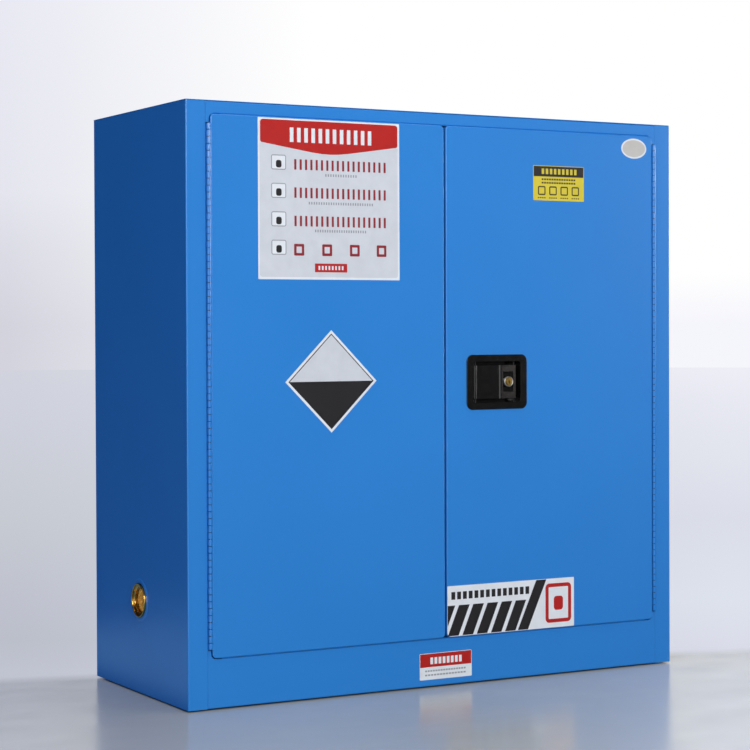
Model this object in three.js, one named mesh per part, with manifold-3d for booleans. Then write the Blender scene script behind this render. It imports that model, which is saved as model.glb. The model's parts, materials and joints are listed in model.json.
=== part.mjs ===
// Flammable safety cabinet: a double-wall steel cabinet with two doors on full-length hinges,
// a three-point latch with a push flap, a pull handle and a key lock, two vents, one shelf and a
// leak-tight sump.
// Millimetres. X to the right, the front towards -Y, Z up, origin on the floor under the middle.

import * as THREE from 'three';
import { mergeVertices } from 'three/addons/utils/BufferGeometryUtils.js';
import Module from 'manifold-3d';

const wasm = await Module();
wasm.setup();

// Overall size and the sheet steel
const width = 1090;
const depth = 460;
const height = 1120;
const sheet = 1.2;
const airSpace = 38;
const insideBend = 1.2;
const footLift = 3;
const seat = 0.3;
const overrun = 5;
const bendSteps = 3;
const roundSides = 24;
const smallSides = 12;
const hexSides = 6;
const lockNutSides = 8;

// Front frame
const frontFlange = 39;
const rearFlange = 20;
const sillHeight = 94;
const headRail = 24.3;
const stopLip = 12;
const doorGap = 1.6;
const headGap = 0.7;
const slotMargin = 1.5;

// Doors
const doorProud = 4;
const meetingGap = 4;
const bumperGap = 1.4;
const doorCorner = 8;
const doorLinerFlange = 8;

// Full-length hinges
const knuckleRadius = 4;
const leafThickness = 1.5;
const leafMargin = 6;
const hingePinRadius = 2.1;
const hingeBore = 2.7;
const knucklePitch = 25.4;
const knuckleCount = 38;
const knuckleGap = 0.4;
const knuckleSides = 6;
const boreSides = 6;

// Liner, shelf and the strips that carry it
const shelfDrop = 545;
const shelfRim = 25;
const shelfSideGap = 11;
const shelfFrontGap = 20;
const shelfBackGap = 12;
const shelfSheet = 1.5;
const shelfCorner = 6;
const postWidth = 30;
const postDepth = 10;
const postInset = 65;
const postEndGap = 24;
const postSlotWidth = 4;
const postSlotHeight = 14;
const postSlotPitch = 80;
const bracketWidth = 22;
const bracketReach = 32;
const bracketHeight = 44;
const bracketSheet = 2;

// Vents through the side walls
const ventBore = 24;
const ventMouth = 30;
const ventFlareDepth = 3.4;
const ventBarrel = 27;
const ventFlange = 32.5;
const ventFlangeThickness = 4;
const ventChamfer = 0.6;
const ventRibHeight = 1.2;
const ribOuterShare = 0.8;
const ribInnerShare = 0.4;
const ventNutReach = 34;
const ventNutThickness = 6;
const ventScreenThickness = 2;
const ventScreenRibs = 3;
const ventScreenSides = 16;
const ventScreenInset = 12;
const lowVentHeight = 181;
const highVentDrop = 150;

// Levelling feet
const footPadRadius = 22;
const footPadThickness = 2.7;
const footStudRadius = 5;
const footStudLength = 30;
const footNutReach = 9.5;
const footNutHeight = 8;
const footInset = 55;

// Ground stud low on the right side
const groundStudRadius = 4;
const groundStudOut = 10;
const groundHeadReach = 7.5;
const groundHeadThickness = 4;
const groundNutThickness = 5;
const groundHeight = 150;
const groundFromBack = 60;

// Latch dish
const latchFromMiddle = 117.5;
const latchHeight = 594;
const dishWidth = 140;
const dishHeight = 108;
const dishCorner = 13;
const dishProud = 2.6;
const dishEdge = 1.2;
const pocketWidth = 110;
const pocketHeight = 81;
const pocketCorner = 6;
const pocketDepth = 21;
const pocketWall = 2;
const pocketFloor = 1.5;

// Push flap, which gives way so that fingers reach behind the handle
const flapHeight = 66;
const flapThickness = 2.5;
const flapBarrel = 4;
const flapPinInset = 7;
const flapPinSink = 4.5;
const flapFaceSink = 2.5;
const flapPlay = 0.8;

// Pull handle, whose left edge is gripped and whose right edge turns on a pin
const handleEdge = 6.5;
const handleHeight = 66;
const handleThickness = 2.5;
const handleBend = 2.5;
const handleFaceSink = 0.5;
const handleSlope = 3.4;
const handleBarrel = 4;
const handlePinInset = 10;
const handlePinSink = 8;
const handleOverhang = 2;
const handleSwing = 40;
const latchPinRadius = 2;
const latchPinDepth = 1.5;

// Lock and its window in the handle, measured from the handle's pin
const lockWindowWidth = 25.5;
const lockWindowHeight = 40;
const lockHousingSink = 2;
const lockHousingWall = 2;
const lockFromPin = 15;
const cylinderRadius = 9;
const cylinderRim = 10.5;
const cylinderRimThickness = 1.5;
const cylinderLength = 8;
const cylinderTail = 4.7;
const plugRadius = 6.5;
const plugProud = 0.8;
const keyway = 1.8;
const keywayHeight = 7;
const keywayDepth = 5;
const camLength = 20;
const camWidth = 7;
const camThickness = 1.5;
const ledgeWidth = 16;
const ledgeHeight = 9;
const ledgeSheet = 2;

// Three-point mechanism behind the dish
const latchThrow = 14;
const hubPinRadius = 24;
const hubRim = 5;
const hubThickness = 2;
const hubBore = 4.5;
const studRadius = 4;
const drivePin = 2.5;
const layerGap = 1;
const boltThickness = 3;
const boltWidth = 12;
const linkLip = 1.1;
const rodThickness = 4;
const rodWidth = 12;
const slotPlay = 1.2;
const tailWidth = 5;
const tailHeight = 9;
const tailPlay = 2.8;
const tailLip = 3;
const bulletRadius = 5;
const bulletLength = 22;
const bulletPlay = 0.8;
const tipProud = 1;
const topTipProud = 0.3;
const guideWidth = 30;
const guideHeight = 12;
const guideWall = 2;
const guideInset = 40;
const keeperWidth = 40;
const keeperDepth = 18;
const keeperThickness = 3;
const strikeDepth = 14;

// Places that follow from the sizes above
const halfWidth = width / 2;
const frontY = -depth / 2;
const backY = depth / 2;
const wall = airSpace + 2 * sheet;
const outsideBend = insideBend + sheet;
const flangeX = halfWidth - frontFlange;
const shellTop = height - sheet - seat;
const rearPlane = backY - sheet - seat;
const openTop = height - headRail;
const doorThickness = airSpace + 2 * sheet;
const hingeX = flangeX - seat - knuckleRadius;
const hingeY = frontY - doorProud;
const doorEdgeX = hingeX - knuckleRadius - seat;
const openX = doorEdgeX + doorGap;
const doorBottom = sillHeight + doorGap;
const doorTop = openTop - headGap;
const doorWidth = doorEdgeX - meetingGap / 2;
const stopY = hingeY + doorThickness + bumperGap;
const linerFront = stopY + sheet + seat;
const linerX = halfWidth - wall;
const linerBack = backY - wall;
const linerTop = height - wall;
const sumpUnder = footLift + sheet + airSpace;
const sumpFloor = sumpUnder + sheet;
const hingeLength = knucklePitch * knuckleCount;
const hingeBottom = (doorBottom + doorTop - hingeLength) / 2;
const hingeTop = hingeBottom + hingeLength;
const leafDepth = doorThickness - leafMargin;
const quarterTurn = Math.PI / 2;

// Finishes
const finishes = {
  paint: { color: 0x2f7dcb, roughness: 0.38, metalness: 0.1 },
  liner: { color: 0x2a6fb8, roughness: 0.45, metalness: 0.1 },
  steel: { color: 0xc4c8cc, roughness: 0.3, metalness: 0.9 },
  zinc: { color: 0xa9b0b6, roughness: 0.45, metalness: 0.85 },
  brass: { color: 0xc8a34a, roughness: 0.3, metalness: 0.9 },
  black: { color: 0x101112, roughness: 0.3, metalness: 0 },
};
const finish = {};
for (const [name, values] of Object.entries(finishes)) {
  finish[name] = () => new THREE.MeshStandardMaterial({ ...values, flatShading: true });
}

// Outlines

function arcPoints(centreX, centreY, radius, start, end, steps) {
  const points = [];
  for (let i = 0; i <= steps; i += 1) {
    const angle = start + (end - start) * i / steps;
    points.push(new THREE.Vector2(centreX + radius * Math.cos(angle), centreY + radius * Math.sin(angle)));
  }
  return points;
}

function roundedRect(x0, y0, x1, y1, radius, steps = bendSteps) {
  return [
    ...arcPoints(x1 - radius, y0 + radius, radius, -quarterTurn, 0, steps),
    ...arcPoints(x1 - radius, y1 - radius, radius, 0, quarterTurn, steps),
    ...arcPoints(x0 + radius, y1 - radius, radius, quarterTurn, 2 * quarterTurn, steps),
    ...arcPoints(x0 + radius, y0 + radius, radius, 2 * quarterTurn, 3 * quarterTurn, steps),
  ];
}

function rect(x0, y0, x1, y1) {
  return [
    new THREE.Vector2(x0, y0),
    new THREE.Vector2(x1, y0),
    new THREE.Vector2(x1, y1),
    new THREE.Vector2(x0, y1),
  ];
}

function circle(centreX, centreY, radius, sides = roundSides) {
  return arcPoints(centreX, centreY, radius, 0, 4 * quarterTurn, sides).slice(0, sides);
}

// A folded sheet in section. The path is one face of the sheet, and the metal lies on its left
// when leftward is 1 and on its right when it is -1. Every corner is bent to the same inside radius.
function foldedSheet(path, thickness, leftward, bend = insideBend, steps = bendSteps) {
  const face = [];
  const far = [];
  const put = (point, normal) => {
    face.push(point);
    far.push(point.clone().addScaledVector(normal, thickness));
  };
  const corners = path.map(([x, y]) => new THREE.Vector2(x, y));
  const runs = corners.slice(1).map((corner, i) => corner.clone().sub(corners[i]).normalize());
  const metalSide = (run) => new THREE.Vector2(-run.y * leftward, run.x * leftward);
  put(corners[0], metalSide(runs[0]));
  for (let i = 1; i < corners.length - 1; i += 1) {
    const before = runs[i - 1];
    const after = runs[i];
    const turn = Math.atan2(before.cross(after), before.dot(after));
    const turnSide = Math.sign(turn);
    const radius = turnSide === leftward ? bend + thickness : bend;
    const setback = radius * Math.tan(Math.abs(turn) / 2);
    const start = corners[i].clone().addScaledVector(before, -setback);
    const inward = new THREE.Vector2(-before.y * turnSide, before.x * turnSide);
    const centre = start.clone().addScaledVector(inward, radius);
    for (let k = 0; k <= steps; k += 1) {
      const arm = start.clone().sub(centre).rotateAround(new THREE.Vector2(), turn * k / steps);
      const run = before.clone().rotateAround(new THREE.Vector2(), turn * k / steps);
      put(centre.clone().add(arm), metalSide(run));
    }
  }
  put(corners[corners.length - 1], metalSide(runs[runs.length - 1]));
  return [...face, ...far.reverse()];
}

// Solids

function solidOf(geometry) {
  const bare = geometry.clone();
  bare.deleteAttribute('normal');
  bare.deleteAttribute('uv');
  const merged = mergeVertices(bare);
  return new wasm.Manifold(new wasm.Mesh({
    numProp: 3,
    vertProperties: new Float32Array(merged.attributes.position.array),
    triVerts: new Uint32Array(merged.index.array),
  }));
}

const axisX = new THREE.Vector3(1, 0, 0);
const axisY = new THREE.Vector3(0, 1, 0);
const axisZ = new THREE.Vector3(0, 0, 1);
const bases = {
  x: new THREE.Matrix4().makeBasis(axisY, axisZ, axisX),
  y: new THREE.Matrix4().makeBasis(axisX, axisZ, axisY.clone().negate()),
  z: new THREE.Matrix4(),
};

function stand(geometry, axis, from, to) {
  const origin = { x: [from, 0, 0], y: [0, to, 0], z: [0, 0, from] }[axis];
  geometry.applyMatrix4(bases[axis]);
  geometry.translate(...origin);
  return geometry;
}

// A prism along an axis: the outline is in (y, z) for x, in (x, z) for y and in (x, y) for z.
function prism(axis, outline, from, to, holes = []) {
  const shape = new THREE.Shape(outline);
  shape.holes = holes.map((hole) => new THREE.Path(hole));
  const geometry = new THREE.ExtrudeGeometry(shape, { depth: to - from, bevelEnabled: false });
  return solidOf(stand(geometry, axis, from, to));
}

function block(x0, y0, z0, x1, y1, z1) {
  const geometry = new THREE.BoxGeometry(x1 - x0, y1 - y0, z1 - z0);
  geometry.translate((x0 + x1) / 2, (y0 + y1) / 2, (z0 + z1) / 2);
  return solidOf(geometry);
}

function roundBar(axis, a, b, radius, from, to, sides = smallSides) {
  return prism(axis, circle(a, b, radius, sides), from, to);
}

// A turned piece about the Z axis, from a closed profile of (radius, height) points
function turned(profile, sides = roundSides) {
  const points = profile.map(([radius, along]) => new THREE.Vector2(radius, along));
  const geometry = new THREE.LatheGeometry(points, sides);
  geometry.rotateX(quarterTurn);
  return solidOf(geometry);
}

// A shallow folded pan with its floor towards -Y and its open side towards +Y.
// Its corners and the folded edge round its floor are rounded.
function pan(x0, z0, x1, z1, panDepth, corner, thickness) {
  const edge = insideBend + thickness;
  const grown = (by) => roundedRect(x0 - by, z0 - by, x1 + by, z1 + by, corner + by);
  const inset = grown(-edge);
  const outer = new THREE.ExtrudeGeometry(new THREE.Shape(inset), {
    depth: panDepth,
    bevelEnabled: true,
    bevelThickness: edge,
    bevelSize: edge,
    bevelSegments: bendSteps,
  });
  const body = solidOf(stand(outer, 'y', 0, panDepth + edge));
  const open = panDepth + 2 * edge + overrun;
  return body
    .subtract(prism('y', grown(-thickness), thickness, open))
    .subtract(block(x0 - overrun, panDepth, z0 - overrun, x1 + overrun, open, z1 + overrun));
}

function geometryOf(solid) {
  const mesh = solid.getMesh();
  const geometry = new THREE.BufferGeometry();
  geometry.setAttribute('position', new THREE.BufferAttribute(new Float32Array(mesh.vertProperties), 3));
  geometry.setIndex(new THREE.BufferAttribute(new Uint32Array(mesh.triVerts), 1));
  geometry.computeVertexNormals();
  return geometry;
}

function add(parent, name, solid, material, position = [0, 0, 0], turnAboutZ = 0) {
  const mesh = new THREE.Mesh(geometryOf(solid), material);
  mesh.name = name;
  mesh.position.set(...position);
  mesh.rotation.z = turnAboutZ;
  parent.add(mesh);
  return mesh;
}

function groupAt(parent, x, y, z) {
  const group = new THREE.Group();
  group.position.set(x, y, z);
  parent.add(group);
  return group;
}

const sides = { left: -1, right: 1 };
const cabinet = new THREE.Group();

// The two X places, lowest first, that lie this far out on one side
function across(side, a, b) {
  return [Math.min(side * a, side * b), Math.max(side * a, side * b)];
}

// Outer shell

function ventHole(side, from, to, ventZ) {
  return prism('x', circle(0, ventZ, ventBarrel + seat), ...across(side, from, to));
}

const ventHeights = { left: lowVentHeight, right: height - highVentDrop };
const groundY = backY - groundFromBack;

function sidePanel(name, side) {
  const path = [
    [side * (halfWidth - rearFlange), rearPlane],
    [side * halfWidth, rearPlane],
    [side * halfWidth, frontY],
    [side * flangeX, frontY],
  ];
  const body = prism('z', foldedSheet(path, sheet, -side), footLift, shellTop)
    .subtract(ventHole(side, halfWidth - sheet - overrun, halfWidth + overrun, ventHeights[name]));
  if (name !== 'right') {
    return body;
  }
  const studHole = circle(groundY, groundHeight, groundStudRadius + seat, smallSides);
  return body.subtract(prism('x', studHole, halfWidth - overrun, halfWidth + overrun));
}

// The jamb beside each door: it carries the fixed hinge leaf and ends in the door's stop.
function jamb(side) {
  const jambFront = frontY + sheet + seat;
  const path = [
    [side * flangeX, jambFront],
    [side * flangeX, stopY],
    [side * (flangeX - stopLip), stopY],
  ];
  const whole = prism('z', foldedSheet(path, sheet, -side), footLift, shellTop);
  const [x0, x1] = across(side, flangeX - stopLip - overrun, flangeX);
  const lipBottom = sillHeight + stopLip + seat;
  const lipTop = linerTop - seat;
  const lowCut = block(x0, frontY, footLift - overrun, x1, linerFront + overrun, lipBottom);
  const highCut = block(x0, frontY, lipTop, x1, linerFront + overrun, height + overrun);
  return whole.subtract(lowCut).subtract(highCut);
}

// One end of a rail, beside the hinge: a tab that reaches to the hinge and rounds the opening's corner
function railEar(side, openEdge, earEnd, deeper) {
  const up = Math.sign(openEdge - earEnd);
  const round = doorCorner + doorGap;
  const endX = flangeX - seat;
  const arc = arcPoints(openX - round, openEdge - up * round, round, 0, up * quarterTurn, bendSteps);
  const outline = [
    new THREE.Vector2(endX, openEdge + up * deeper),
    new THREE.Vector2(endX, earEnd),
    new THREE.Vector2(openX, earEnd),
    ...arc,
    new THREE.Vector2(openX - round, openEdge + up * deeper),
  ];
  const mirrored = outline.map((point) => new THREE.Vector2(side * point.x, point.y));
  return prism('y', mirrored, frontY, frontY + sheet);
}

const rodX = { top: latchFromMiddle + hubPinRadius, bottom: latchFromMiddle - hubPinRadius };
const pocketBack = pocketDepth + pocketFloor;
const boltLayer = pocketBack + layerGap;
const hubLayer = boltLayer + boltThickness + layerGap;
const rodLayer = hubLayer + hubThickness + layerGap;
const rodMiddleY = hingeY + rodLayer + rodThickness / 2;

function rail(path, leftward, openEdge, earEnd, rodAt) {
  const end = flangeX - seat;
  let body = prism('x', foldedSheet(path, sheet, leftward), -end, end);
  for (const side of Object.values(sides)) {
    body = body.add(railEar(side, openEdge, earEnd, outsideBend + sheet));
  }
  const holeRadius = bulletRadius + bulletPlay;
  return body.subtract(roundBar('z', rodAt, rodMiddleY, holeRadius, openEdge - overrun, openEdge + overrun));
}

function topRail() {
  const path = [
    [linerFront - seat, shellTop],
    [frontY, shellTop],
    [frontY, openTop],
    [stopY, openTop],
    [stopY, linerTop],
  ];
  return rail(path, 1, openTop, hingeTop + slotMargin, rodX.top);
}

function bottomRail() {
  const path = [
    [linerFront - seat, footLift],
    [frontY, footLift],
    [frontY, sillHeight],
    [stopY, sillHeight],
    [stopY, sillHeight + stopLip],
  ];
  return rail(path, -1, sillHeight, hingeBottom - slotMargin, rodX.bottom);
}

function keeperPlate(rodAt, from) {
  const halfX = keeperWidth / 2;
  const halfY = keeperDepth / 2;
  const outline = rect(rodAt - halfX, rodMiddleY - halfY, rodAt + halfX, rodMiddleY + halfY);
  const hole = circle(rodAt, rodMiddleY, bulletRadius + bulletPlay, smallSides);
  return prism('z', outline, from, from + keeperThickness, [hole]);
}

const footX = halfWidth - footInset;
const footPlaces = {
  front_left: [-footX, linerFront + footInset / 2],
  front_right: [footX, linerFront + footInset / 2],
  back_left: [-footX, backY - footInset],
  back_right: [footX, backY - footInset],
};

function basePanel() {
  const reach = halfWidth - sheet - seat;
  const outline = roundedRect(-reach, linerFront, reach, rearPlane - sheet - seat, outsideBend);
  let body = prism('z', outline, footLift, footLift + sheet);
  for (const [x, y] of Object.values(footPlaces)) {
    const nutTop = footLift + sheet + footNutHeight;
    const nut = prism('z', circle(x, y, footNutReach, hexSides), footLift, nutTop);
    body = body.add(nut).subtract(roundBar('z', x, y, footStudRadius + seat, 0, nutTop + overrun));
  }
  return body;
}

function topPanel() {
  const outline = roundedRect(-halfWidth, frontY, halfWidth, backY, outsideBend);
  return prism('z', outline, height - sheet, height);
}

function backPanel() {
  const reach = halfWidth - outsideBend;
  return block(-reach, backY - sheet, footLift, reach, backY, shellTop);
}

for (const [name, side] of Object.entries(sides)) {
  add(cabinet, `${name}_side_panel`, sidePanel(name, side), finish.paint());
  add(cabinet, `${name}_door_jamb`, jamb(side), finish.paint());
}
add(cabinet, 'top_panel', topPanel(), finish.paint());
add(cabinet, 'back_panel', backPanel(), finish.paint());
add(cabinet, 'base_panel', basePanel(), finish.paint());
add(cabinet, 'top_rail', topRail(), finish.paint());
add(cabinet, 'bottom_rail', bottomRail(), finish.paint());
const topKeeperFrom = openTop + sheet + seat;
const bottomKeeperFrom = sillHeight - sheet - seat - keeperThickness;
add(cabinet, 'top_keeper', keeperPlate(rodX.top, topKeeperFrom), finish.zinc());
add(cabinet, 'bottom_keeper', keeperPlate(rodX.bottom, bottomKeeperFrom), finish.zinc());

// Inner liner and sump. Each side wall has two slotted strips welded to it for the shelf's brackets.

const postBottom = sillHeight + postEndGap;
const postTop = linerTop - postEndGap;
const postPlaces = { front: linerFront + postInset, back: linerBack - postInset };
const shelfUnder = height - shelfDrop;
const slotsBelowShelf = Math.floor((shelfUnder - postBottom - postSlotPitch / 2) / postSlotPitch);
const firstSlot = shelfUnder - bracketHeight / 2 - slotsBelowShelf * postSlotPitch;

// A strip on the left wall, in a frame whose X axis points into the cabinet
function slottedStrip() {
  const half = postWidth / 2;
  const path = [
    [-sheet / 2, -half],
    [postDepth, -half],
    [postDepth, half],
    [-sheet / 2, half],
  ];
  let body = prism('z', foldedSheet(path, sheet, 1), postBottom, postTop);
  const slot = rect(-postSlotWidth / 2, 0, postSlotWidth / 2, postSlotHeight);
  for (let z = firstSlot; z < postTop - postSlotPitch / 2; z += postSlotPitch) {
    const cut = slot.map((point) => new THREE.Vector2(point.x, point.y + z));
    body = body.subtract(prism('x', cut, postDepth - sheet - overrun, postDepth + overrun));
  }
  return body;
}

function linerSide(name, side) {
  const [x0, x1] = across(side, linerX, linerX + sheet);
  const turn = side > 0 ? 180 : 0;
  let body = block(x0, linerFront, sumpUnder, x1, linerBack + sheet, linerTop - seat)
    .subtract(ventHole(side, linerX - overrun, linerX + sheet + overrun, ventHeights[name]));
  for (const y of Object.values(postPlaces)) {
    body = body.add(slottedStrip().rotate([0, 0, turn]).translate([side * linerX, y, 0]));
  }
  return body;
}

function linerRoof() {
  return block(-linerX - sheet, linerFront, linerTop, linerX + sheet, linerBack + sheet, linerTop + sheet);
}

function linerRear() {
  return block(-linerX + seat, linerBack, sumpUnder, linerX - seat, linerBack + sheet, linerTop - seat);
}

function sumpTray() {
  const reach = linerX - seat;
  const back = linerBack - seat;
  const outer = block(-reach, linerFront, sumpUnder, reach, back, sillHeight);
  const inner = roundedRect(-reach + sheet, linerFront + sheet, reach - sheet, back - sheet, outsideBend);
  return outer.subtract(prism('z', inner, sumpFloor, sillHeight + overrun));
}

for (const [name, side] of Object.entries(sides)) {
  add(cabinet, `${name}_liner`, linerSide(name, side), finish.liner());
}
add(cabinet, 'roof_liner', linerRoof(), finish.liner());
add(cabinet, 'rear_liner', linerRear(), finish.liner());
add(cabinet, 'sump_tray', sumpTray(), finish.liner());

// Brackets and the shelf

function shelfBracket() {
  const half = bracketWidth / 2;
  const face = postDepth + seat;
  const path = [
    [face, -bracketHeight],
    [face, 0],
    [face + bracketReach, 0],
  ];
  const arm = prism('y', foldedSheet(path, bracketSheet, -1), -half, half);
  const hookHalf = postSlotWidth / 2 - seat;
  const hookBottom = -bracketHeight / 2 + seat;
  const hookTop = hookBottom + postSlotHeight - 2 * seat;
  const hookFrom = face - sheet - 2 * seat;
  const hookTo = face + bracketSheet / 2;
  return arm.add(block(hookFrom, -hookHalf, hookBottom, hookTo, hookHalf, hookTop));
}

function shelfTray() {
  const reach = linerX - shelfSideGap;
  const front = linerFront + shelfFrontGap;
  const back = linerBack - shelfBackGap;
  const inset = (by) => roundedRect(-reach + by, front + by, reach - by, back - by, shelfCorner - by);
  const outer = prism('z', inset(0), 0, shelfRim);
  return outer.subtract(prism('z', inset(shelfSheet), shelfSheet, shelfRim + overrun));
}

for (const [sideName, side] of Object.entries(sides)) {
  const x = side * linerX;
  const turn = side > 0 ? 2 * quarterTurn : 0;
  for (const [endName, y] of Object.entries(postPlaces)) {
    const name = `shelf_bracket_${endName}_${sideName}`;
    add(cabinet, name, shelfBracket(), finish.zinc(), [x, y, shelfUnder - seat], turn);
  }
}
add(cabinet, 'shelf', shelfTray(), finish.zinc(), [0, 0, shelfUnder]);

// Vents: a flanged brass body through both walls with a flared mouth, a screen deep in its bore
// and a lock nut inside

function ventBody() {
  const through = wall + ventNutThickness + seat;
  return turned([
    [ventMouth, -ventFlangeThickness],
    [ventBore, ventFlareDepth - ventFlangeThickness],
    [ventBore, through],
    [ventBarrel, through],
    [ventBarrel, -seat],
    [ventFlange, -seat],
    [ventFlange, ventChamfer - ventFlangeThickness],
    [ventFlange - ventChamfer, -ventFlangeThickness],
    [ventMouth, -ventFlangeThickness],
  ].reverse());
}

function ventScreen() {
  const reach = ventBore - seat;
  const near = ventScreenInset - ventFlangeThickness;
  const profile = [[0, near + ventScreenThickness], [reach, near + ventScreenThickness], [reach, near]];
  for (let i = ventScreenRibs - 1; i >= 0; i -= 1) {
    const outer = reach * (i + ribOuterShare) / ventScreenRibs;
    const inner = reach * (i + ribInnerShare) / ventScreenRibs;
    profile.push([outer, near], [outer, near - ventRibHeight], [inner, near - ventRibHeight], [inner, near]);
  }
  profile.push([0, near]);
  return turned(profile.reverse(), ventScreenSides);
}

function ventNut() {
  const from = wall + seat;
  const hole = circle(0, 0, ventBarrel + seat);
  return prism('z', circle(0, 0, ventNutReach, lockNutSides), from, from + ventNutThickness, [hole]);
}

// Turned pieces point along +Z; a quarter turn about Y points them into the wall
function addThroughWall(name, solid, material, side, y, z) {
  const mesh = add(cabinet, name, solid, material, [side * halfWidth, y, z]);
  mesh.rotation.set(0, -side * quarterTurn, 0);
}

for (const [name, side] of Object.entries(sides)) {
  addThroughWall(`${name}_vent_body`, ventBody(), finish.brass(), side, 0, ventHeights[name]);
  addThroughWall(`${name}_vent_screen`, ventScreen(), finish.brass(), side, 0, ventHeights[name]);
  addThroughWall(`${name}_vent_nut`, ventNut(), finish.zinc(), side, 0, ventHeights[name]);
}

// Ground stud and its nut

function groundStud() {
  const headFrom = sheet + seat;
  const headTo = headFrom + groundHeadThickness;
  return roundBar('z', 0, 0, groundStudRadius, -groundStudOut, headTo)
    .add(prism('z', circle(0, 0, groundHeadReach, hexSides), headFrom, headTo));
}

function groundNut() {
  const hole = circle(0, 0, groundStudRadius + seat, smallSides);
  return prism('z', circle(0, 0, groundHeadReach, hexSides), -seat - groundNutThickness, -seat, [hole]);
}

addThroughWall('ground_stud', groundStud(), finish.zinc(), sides.right, groundY, groundHeight);
addThroughWall('ground_nut', groundNut(), finish.brass(), sides.right, groundY, groundHeight);

// Levelling feet

function levellingFoot() {
  const stud = roundBar('z', 0, 0, footStudRadius, footPadThickness / 2, footStudLength);
  return roundBar('z', 0, 0, footPadRadius, 0, footPadThickness, roundSides).add(stud);
}

for (const [name, [x, y]] of Object.entries(footPlaces)) {
  add(cabinet, `levelling_foot_${name}`, levellingFoot(), finish.zinc(), [x, y, 0]);
}

// Full-length hinges. One leaf: a plate whose outer face is tangent to the barrel, with every
// second knuckle curled round the pin.
function hingeLeaf(plateSide, phase) {
  const plateFrom = knuckleRadius + seat;
  const plateInner = knuckleRadius - leafThickness;
  const meet = Math.acos(plateInner / knuckleRadius);
  const curl = arcPoints(0, 0, knuckleRadius, 0, meet - 4 * quarterTurn, knuckleSides);
  const section = [
    new THREE.Vector2(knuckleRadius, plateFrom),
    ...curl,
    new THREE.Vector2(plateInner, plateFrom),
  ].map((point) => new THREE.Vector2(plateSide * point.x, point.y));
  const bore = circle(0, 0, hingeBore, boreSides);
  const x0 = Math.min(plateSide * plateInner, plateSide * knuckleRadius);
  let leaf = block(x0, plateFrom, hingeBottom, x0 + leafThickness, leafDepth, hingeTop);
  for (let i = phase; i < knuckleCount; i += 2) {
    const from = hingeBottom + i * knucklePitch + knuckleGap / 2;
    leaf = leaf.add(prism('z', section, from, from + knucklePitch - knuckleGap, [bore]));
  }
  return leaf;
}

function hingePin() {
  return roundBar('z', 0, 0, hingePinRadius, hingeBottom, hingeTop, smallSides);
}

const doors = {};
for (const [name, side] of Object.entries(sides)) {
  const frameHinge = groupAt(cabinet, side * hingeX, hingeY, 0);
  add(frameHinge, `${name}_frame_hinge_leaf`, hingeLeaf(side, 0), finish.paint());
  add(frameHinge, `${name}_hinge_pin`, hingePin(), finish.steel());
  doors[name] = groupAt(cabinet, side * hingeX, hingeY, 0);
  add(doors[name], `${name}_door_hinge_leaf`, hingeLeaf(-side, 1), finish.paint());
}

// Doors, each in a frame whose Z axis is its hinge pin

const hingeToEdge = knuckleRadius + seat;

function doorSpan(side, inset) {
  return across(-side, hingeToEdge + inset, hingeToEdge + doorWidth - inset);
}

function doorSkin(side) {
  const [x0, x1] = doorSpan(side, 0);
  return pan(x0, doorBottom, x1, doorTop, doorThickness, doorCorner, sheet);
}

// The inner pan closes the door from behind, its flanges turned towards the skin
function doorLiner(side) {
  const inset = sheet + seat;
  const [x0, x1] = doorSpan(side, inset);
  const [z0, z1] = [doorBottom + inset, doorTop - inset];
  return pan(x0, z0, x1, z1, doorLinerFlange, doorCorner - inset, sheet)
    .mirror([0, 1, 0])
    .translate([0, doorThickness, 0]);
}

// Places inside the right door, measured from its hinge pin
const latchX = latchFromMiddle - hingeX;
const boltMiddle = latchHeight + hubPinRadius;
const boltMiddleY = boltLayer + boltThickness / 2;
const freeEdge = meetingGap / 2;

function pocketCut() {
  const grow = pocketWall + seat;
  const halfX = pocketWidth / 2 + grow;
  const halfZ = pocketHeight / 2 + grow;
  const [x0, x1] = [latchX - halfX, latchX + halfX];
  const [z0, z1] = [latchHeight - halfZ, latchHeight + halfZ];
  return prism('y', roundedRect(x0, z0, x1, z1, pocketCorner + grow), -overrun, sheet + overrun);
}

function rodCut(rodAt, doorEdge) {
  const hole = circle(rodAt - hingeX, rodMiddleY - hingeY, bulletRadius + bulletPlay, smallSides);
  return prism('z', hole, doorEdge - overrun, doorEdge + overrun);
}

// The slot for the centre bolt in a door's free edge, in that door's own frame
function boltCut(side, grow) {
  const edge = side * (freeEdge - hingeX);
  const half = boltWidth / 2 + grow;
  const deep = boltThickness / 2 + grow;
  const outline = rect(boltMiddleY - deep, boltMiddle - half, boltMiddleY + deep, boltMiddle + half);
  return prism('x', outline, edge - overrun, edge + overrun);
}

const leftSkin = doorSkin(sides.left).subtract(boltCut(sides.left, bulletPlay));
add(doors.left, 'left_door_skin', leftSkin, finish.paint());
add(doors.left, 'left_door_liner', doorLiner(sides.left), finish.liner());
const rodCuts = rodCut(rodX.top, doorTop).add(rodCut(rodX.bottom, doorBottom));
const rightSkinCuts = rodCuts.add(pocketCut()).add(boltCut(sides.right, bulletPlay));
add(doors.right, 'right_door_skin', doorSkin(sides.right).subtract(rightSkinCuts), finish.paint());
add(doors.right, 'right_door_liner', doorLiner(sides.right).subtract(rodCuts), finish.liner());

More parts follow.
